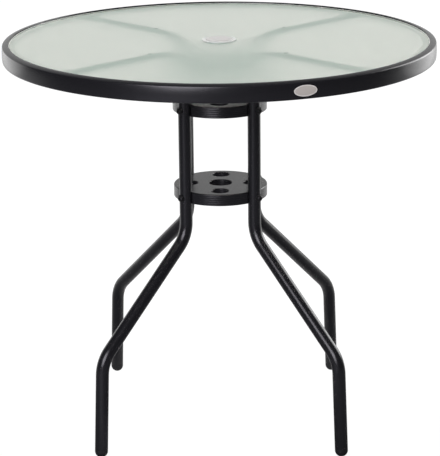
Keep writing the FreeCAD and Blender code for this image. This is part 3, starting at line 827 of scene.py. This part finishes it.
@dataclass
class BentLegs:
    """The four legs, each one tube from the rim to the foot."""

    tube: float = 0.012
    tongue_tip: float = 0.3775
    tongue_length: float = 0.028
    tongue_width: float = 0.034
    tongue_thickness: float = 0.003
    tongue_edge_round: float = 0.0012
    edge_steps: int = 3
    tip_flat: float = 0.0004
    swage: float = 0.024
    arm_height: float = 0.7155
    arm_bend: float = 0.077
    column: float = 0.090
    leg_bend: float = 0.060
    splay_top: float = 0.378
    knee_radius: float = 0.304
    knee_height: float = 0.184
    foot_radius: float = 0.313
    plug_flat: float = 0.004
    plug_skirt: float = 0.004
    sides: int = 40
    bend_steps: int = 14
    swage_steps: int = 8

    def straight(self, start: Vector, end: Vector) -> None:
        """Draws the open end of the tube straight on."""
        bpy.ops.mesh.extrude_region_move(TRANSFORM_OT_translate={"value": end - start})

    def bend(self, centre: Vector, angle: float) -> None:
        """Draws the open end of the tube round a bend.

        Args:
            centre: Centre of the bend.
            angle: Turn in radians, from +X towards +Z where it is positive.
        """
        bpy.ops.mesh.spin(steps=self.bend_steps, angle=angle, center=centre, axis=(0, 1, 0))

    def turn_at(self, last: Vector, corner: Vector, after: Vector) -> Vector:
        """Runs the tube up to a corner of its line and round it.

        Args:
            last: Where the open end is.
            corner: Where the two straight lines would meet.
            after: The next corner or the end of the line.

        Returns:
            Where the open end is after the bend.
        """
        back, ahead = (last - corner).normalized(), (after - corner).normalized()
        half = acos(back.dot(ahead)) / 2
        reach = self.leg_bend / tan(half)
        first, second = corner + back * reach, corner + ahead * reach
        centre = corner + (back + ahead).normalized() * (self.leg_bend / sin(half))
        turn = (pi - 2 * half) * (-1 if (-back).cross(ahead).y > 0 else 1)
        self.straight(last, first)
        self.bend(centre, turn)
        return second

    def bent_tube(self) -> Piece:
        """Models the round tube from the swage of the arm down to the foot plug.

        Returns:
            The tube, open at the swage.
        """
        root = self.tongue_tip - self.tongue_length - self.swage
        start = Vector((root, 0, self.arm_height))
        arm_turn = Vector((self.column + self.arm_bend, 0, self.arm_height - self.arm_bend))
        top = Vector((self.column, 0, self.splay_top))
        knee = Vector((self.knee_radius, 0, self.knee_height))
        foot = Vector((self.foot_radius, 0, sqrt(self.tube ** 2 - self.plug_flat ** 2)))
        end = foot + (knee - foot).normalized() * self.plug_skirt
        bpy.ops.object.select_all(action="DESELECT")
        bpy.ops.mesh.primitive_circle_add(vertices=self.sides, radius=self.tube, location=start,
                                          rotation=(0, pi / 2, 0))
        piece = bpy.context.active_object
        bpy.ops.object.transform_apply()
        with editing(piece):
            bpy.ops.mesh.select_all(action="SELECT")
            self.straight(start, Vector((arm_turn.x, 0, start.z)))
            self.bend(arm_turn, pi / 2)
            at = self.turn_at(Vector((self.column, 0, arm_turn.z)), top, knee)
            at = self.turn_at(at, knee, end)
            self.straight(at, end)
            bpy.ops.mesh.edge_face_add()
        return piece

    def tongue(self) -> Piece:
        """Models the arm's end pressed flat, with a round tip and soft edges.

        Returns:
            The tongue, open at its root.
        """
        tip, root = self.tongue_tip, self.tongue_tip - self.tongue_length
        half = self.tongue_width / 2
        low = self.arm_height - self.tongue_thickness / 2
        bpy.ops.object.select_all(action="DESELECT")
        middle = Vector(((root + tip) / 2, 0, low))
        bpy.ops.mesh.primitive_plane_add(size=1.0, location=middle)
        piece = bpy.context.active_object
        bpy.ops.object.transform_apply()
        with editing(piece):
            bpy.ops.mesh.select_all(action="SELECT")
            bpy.ops.transform.resize(value=(tip - root, 2 * half, 1), center_override=middle)
            pick_verts(piece, lambda co: near(co.x, tip))
            bpy.ops.mesh.bevel(offset=half - self.tip_flat, segments=10, affect="VERTICES")
            bpy.ops.mesh.select_all(action="SELECT")
            bpy.ops.mesh.extrude_region_move(
                TRANSFORM_OT_translate={"value": (0, 0, self.tongue_thickness)})
            pick_faces(piece, lambda at, normal: near(at.x, root))
            bpy.ops.mesh.delete(type="FACE")
        with editing(piece, Pick.EDGES):
            pick_edges(piece, lambda a, b: near(a.z, b.z)
                       and not (near(a.x, root) and near(b.x, root)))
            bpy.ops.mesh.bevel(offset=self.tongue_edge_round, segments=self.edge_steps,
                               affect="EDGES")
            pick_edges(piece, lambda a, b: near(a.x, root) and near(b.x, root)
                       and near(a.z, b.z) and (a - b).length > half)
            # The open end gets as many points as the tube's, of which its corners have these.
            corner_points = 4 * (self.edge_steps + 1)
            bpy.ops.mesh.subdivide(number_cuts=(self.sides - corner_points) // 2)
        return piece

    def leg(self) -> Piece:
        """Joins the tube and its flattened end through the swage.

        Returns:
            The finished leg, along +X.
        """
        piece, flat = self.bent_tube(), self.tongue()
        root = self.tongue_tip - self.tongue_length
        solo(piece)
        flat.select_set(True)
        bpy.ops.object.join()
        with editing(piece, Pick.EDGES):
            pick_edges(piece, lambda a, b: near(a.x, b.x) and (
                near(a.x, root) or near(a.x, root - self.swage)))
            bpy.ops.mesh.bridge_edge_loops(number_cuts=self.swage_steps,
                                           interpolation="SURFACE", smoothness=0.8)
            mend()
        smooth(piece)
        return piece

    def build(self) -> None:
        """Builds one leg, copies it to every corner, dresses and mounts the copies."""
        pattern = self.leg()
        for corner in Corner:
            piece = turned_copy(pattern, "bent_leg_" + corner.word, corner.value)
            COAT.give(piece)
            mount(piece, "leg_" + corner.word)
        bpy.data.objects.remove(pattern)


@dataclass
class LabelPlate:
    """Blank oval plate stuck to the rim, right of the front."""

    width: float = 0.042
    height: float = 0.0195
    thickness: float = 0.0009
    border: float = 0.0016
    rings: int = 6
    sides: int = 72
    direction: float = -68.1
    level: float = 0.7222
    stand_off: float = 0.01
    glue: float = 0.00005
    crease: float = 50.0

    def build(self, rim: Piece) -> None:
        """Models the plate flat, lays it on the rim and dresses it.

        Args:
            rim: The rim that it is stuck to.
        """
        front = RIM_RADIUS + self.stand_off
        bpy.ops.object.select_all(action="DESELECT")
        bpy.ops.mesh.primitive_circle_add(vertices=self.sides, radius=0.5, fill_type="NGON",
                                          location=(front, 0, self.level),
                                          rotation=(pi / 2, 0, pi / 2))
        piece = bpy.context.active_object
        piece.name = "label_plate"
        bpy.ops.object.transform_apply()
        for finish in (PLATE_METAL, PLATE_FIELD):
            piece.data.materials.append(finish.material())
        middle = Vector((front, 0, self.level))
        with editing(piece, Pick.FACES):
            bpy.ops.mesh.select_all(action="SELECT")
            bpy.ops.transform.resize(value=(1, self.width, self.height), center_override=middle)
            bpy.ops.mesh.inset(thickness=self.border, depth=0)
            for ring in range(self.rings, 1, -1):
                share = (ring - 1) / ring
                bpy.ops.mesh.extrude_region_move()
                bpy.ops.transform.resize(value=(1, share, share), center_override=middle)
        use_modifier(piece, "SHRINKWRAP", target=rim, wrap_method="PROJECT",
                     use_negative_direction=True, use_positive_direction=True,
                     use_project_x=True, offset=self.glue)
        use_modifier(piece, "SOLIDIFY", thickness=self.thickness, offset=-1.0)
        smooth(piece, self.crease)
        wide, high = self.width / 2 - self.border, self.height / 2 - self.border
        with editing(piece, Pick.FACES):
            pick_faces(piece, lambda at, normal: (at.y / wide) ** 2
                       + ((at.z - self.level) / high) ** 2 < 1)
            piece.active_material_index = 1
            bpy.ops.object.material_slot_assign()
        piece.rotation_euler.z = radians(self.direction)
        solo(piece)
        bpy.ops.object.transform_apply()
        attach(piece, TABLE_BODY)


def mount(piece: Piece, node: str) -> None:
    """Lets a piece stand for a node of the frame and ride where that node rides.

    Args:
        piece: The finished piece.
        node: The node's name.
    """
    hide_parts(node)
    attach(piece, TABLE_BODY)
    LOG.info("%s stands for %s with %d faces", piece.name, node, len(piece.data.polygons))


@dataclass
class Fittings:
    """Hubs, brackets, fasteners, plugs, bumpers and the hole's ring and cap.

    They keep the shapes that they have in the frame.
    """

    hubs: tuple[str, ...] = ("upper", "lower")

    def finishes(self) -> dict[str, Finish]:
        """The finish of every fitting by its node.

        Returns:
            Finishes by the nodes' names.
        """
        finishes = {
            "rim_brackets": COAT, "arm_bumpers": CLEAR_VINYL,
            "upper_hub": HUB_COAT, "lower_hub": HUB_COAT,
            "umbrella_hole_ring": RING_PLASTIC, "umbrella_hole_cap": MILKY_PLASTIC,
            "rim_bolts": BLACK_STEEL, "rim_washers": BLACK_STEEL, "rim_nuts": ZINC}
        for hub in self.hubs:
            finishes[hub + "_hub_bolts"] = BLACK_STEEL
            finishes[hub + "_hub_saddle_washers"] = BLACK_PLASTIC
            finishes[hub + "_hub_nuts"] = ZINC
        for corner in Corner:
            finishes["foot_plug_" + corner.word] = BLACK_PLASTIC
        return finishes

    def build(self) -> None:
        """Dresses every fitting where it is."""
        for node, finish in self.finishes().items():
            finish.give(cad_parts[node])
            LOG.info("%s keeps its shape, in %s", node, finish.name)


# The studio

@dataclass(frozen=True)
class Lamp:
    """One soft oval lamp that the camera doesn't see, with its power in watts.

    Glossy surfaces show it where it is mirrored, and it lights matt ones where it is scattered.
    """

    name: str
    place: Triple
    aim: Triple
    size: tuple[float, float]
    power: float
    colour: Triple = (1, 1, 1)
    mirrored: bool = True
    scattered: bool = True

    def hang(self) -> None:
        """Hangs the lamp and turns it to the point that it faces."""
        bpy.ops.object.light_add(type="AREA", location=self.place)
        lamp = bpy.context.active_object
        lamp.name = self.name
        way = Vector(self.aim) - Vector(self.place)
        lamp.rotation_euler = way.to_track_quat("-Z", "Y").to_euler()
        lamp.data.shape = "ELLIPSE"
        lamp.data.size, lamp.data.size_y = self.size
        lamp.data.energy = self.power
        lamp.data.color = self.colour
        lamp.visible_camera = False
        lamp.visible_glossy = self.mirrored
        lamp.visible_diffuse = self.scattered


LAMPS = (
    Lamp("overhead_lamp", (0, 0.3, 3.0), (0, 0, 0.4), (2.4, 2.4), 60.0, mirrored=False),
    Lamp("left_lamp", (-0.86, -2.6, 1.5), (0, 0, 0.72), (2.0, 1.8), 56.0, (0.94, 0.91, 1.0)),
    Lamp("right_rear_lamp", (2.0, 1.2, 1.5), (0.35, 0, 0.72), (2.0, 2.0), 44.0,
         scattered=False),
    Lamp("right_low_lamp", (1.38, 0.78, 0.65), (0.2, -0.1, 0.65), (1.2, 0.85), 3.5),
    Lamp("left_rear_lamp", (-1.75, 1.5, 0.6), (-0.35, 0, 0.6), (1.6, 1.0), 3.0))


@dataclass(frozen=True)
class PhotoCamera:
    """The camera, with its angles in radians and its lens in millimetres."""

    distance: float = 3.45005
    height: float = 1.41314
    side_step: float = 0.01629
    turn: float = 0.01685
    pitch: float = 0.29282
    roll: float = -0.01035
    lens: float = 149.6
    sensor: float = 36.0

    def stand(self) -> None:
        """Stands the camera where the photograph was taken."""
        bpy.ops.object.camera_add()
        camera = bpy.context.active_object
        camera.data.lens = self.lens
        camera.data.sensor_width = self.sensor
        place = Matrix.Rotation(self.side_step, 4, "Z") @ Vector((0, -self.distance, self.height))
        camera.matrix_world = (Matrix.Translation(place) @ Matrix.Rotation(self.turn, 4, "Z")
                               @ Matrix.Rotation(pi / 2 - self.pitch, 4, "X")
                               @ Matrix.Rotation(self.roll, 4, "Z"))
        bpy.context.scene.camera = camera


@dataclass
class Studio:
    """Pale floor with light and shade painted into its colour, white surroundings, soft lamps and
    the camera.
    """

    floor_size: float = 12.0
    pale_paper: Colour = (0.8, 0.8, 0.8, 1)
    # The floor's paper colour paints light and shade: the dim paper in front is painted shade,
    # and the pool paper on the left is a painted pool of lamp light.
    painted_shade_paper: Colour = (0.14, 0.14, 0.15, 1)
    painted_light_pool_paper: Colour = (0.36, 0.36, 0.39, 1)
    painted_shade_to_pale: tuple[float, float] = (-0.2, 1.0)
    painted_light_pool_way: tuple[float, float] = (-0.42, -0.907)
    painted_light_pool_edge: float = 0.93
    glow: float = 1.14
    glow_share: float = 0.88
    # The glow seen in mirrors is dimmed near the table as painted shade.
    near_glow: float = 0.35
    near_to_far: tuple[float, float] = (1.2, 3.2)
    side_to_behind: tuple[float, float] = (0.4, 0.7)
    low_to_high: tuple[float, float] = (0.15, 0.9)
    sky: float = 0.4
    mirrored_sky: float = 0.7
    mirrored_dark: float = 0.024

    def floor(self) -> None:
        """Lays the floor: white to the eye, with the table's shadow on it."""
        bpy.ops.object.select_all(action="DESELECT")
        bpy.ops.mesh.primitive_plane_add(size=self.floor_size)
        piece = bpy.context.active_object
        piece.name = "floor"
        material = bpy.data.materials.new("pale_floor")
        material.use_nodes = True
        shader = Shader(material.node_tree)
        paper = shader.node("ShaderNodeBsdfDiffuse", inputs={"Color": self.paper(shader)})
        glow = shader.node("ShaderNodeEmission",
                           inputs={"Color": (1, 1, 1, 1), "Strength": self.glow})
        share = self.glow_seen(shader)
        shader.end(shader.mixed(share, paper.outputs[0], glow.outputs[0]))
        piece.data.materials.append(material)

    def paper(self, shader: Shader) -> bpy.types.NodeSocket:
        """Colour of the floor for the light that it throws back on the table.

        Args:
            shader: The floor's shader.

        Returns:
            The colour: dim in front as painted shade, with one paler pool on the left as a
                painted pool of lamp light, and pale behind.
        """
        across, along, _ = shader.axes()
        way = (across * self.painted_light_pool_way[0] + along * self.painted_light_pool_way[1]) / shader.reach()
        # Painted shade in front, with a painted pool of lamp light on the left.
        front = shader.blend(shader.ramp(way, self.painted_light_pool_edge, 1.0), self.painted_shade_paper,
                             self.painted_light_pool_paper)
        return shader.blend(shader.ramp(along, *self.painted_shade_to_pale), front, self.pale_paper)

    def glow_seen(self, shader: Shader) -> Value:
        """How much of the floor's white a ray sees.

        Args:
            shader: The floor's shader.

        Returns:
            The share: full for the eye, and mirrored only from the floor behind the table, dimmer
                near the table as painted shade.
        """
        reach = shader.reach()
        behind = shader.ramp(shader.axes()[1] / reach, *self.side_to_behind)
        # Painted shade: the mirrored glow is dimmer near the table.
        far = shader.ramp(reach, *self.near_to_far) * (1 - self.near_glow) + self.near_glow
        seen, mirrored = self.rays(shader)
        return seen.larger(mirrored * behind * far) * self.glow_share

    def rays(self, shader: Shader) -> tuple[Value, Value]:
        """Which rays see the white surroundings.

        Args:
            shader: The shader of the floor or the world.

        Returns:
            1 for rays from the camera or through glass, and 1 for mirrored rays.
        """
        path = shader.node("ShaderNodeLightPath")
        camera = Value(shader, path.outputs["Is Camera Ray"])
        through = Value(shader, path.outputs["Is Transmission Ray"])
        return camera.larger(through), Value(shader, path.outputs["Is Glossy Ray"])

    def world(self) -> None:
        """White behind the table and darker on the camera's side, as in the photograph."""
        world = bpy.data.worlds.new("studio")
        bpy.context.scene.world = world
        world.use_nodes = True
        world.cycles.sampling_method = "NONE"
        shader = Shader(world.node_tree)
        way = shader.node("ShaderNodeTexCoord").outputs["Generated"]
        axes = shader.node("ShaderNodeSeparateXYZ", inputs={0: way})
        behind = shader.ramp(Value(shader, axes.outputs["Y"]), *self.side_to_behind)
        high = shader.ramp(Value(shader, axes.outputs["Z"]), *self.low_to_high)
        seen, mirrored = self.rays(shader)
        level = self.sky + seen * (1 - self.sky)
        shown = behind * (1 - high) * self.mirrored_sky + self.mirrored_dark
        level = level + mirrored * (shown - level)
        back = shader.node("ShaderNodeBackground",
                           inputs={"Color": (1, 1, 1, 1), "Strength": level})
        shader.node("ShaderNodeOutputWorld", inputs={"Surface": back.outputs[0]})

    def build(self) -> None:
        """Builds the studio."""
        self.floor()
        self.world()
        for lamp in LAMPS:
            lamp.hang()
        PhotoCamera().stand()
        bpy.context.scene.view_settings.view_transform = "Standard"


def main() -> None:
    """Builds the table over its frame, then the studio."""
    logging.basicConfig(level=logging.INFO, format="%(name)s: %(message)s")
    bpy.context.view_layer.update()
    TableTop().build()
    BentLegs().build()
    LabelPlate().build(bpy.data.objects["rim_band"])
    Fittings().build()
    Studio().build()


if __name__ == "__main__":
    main()
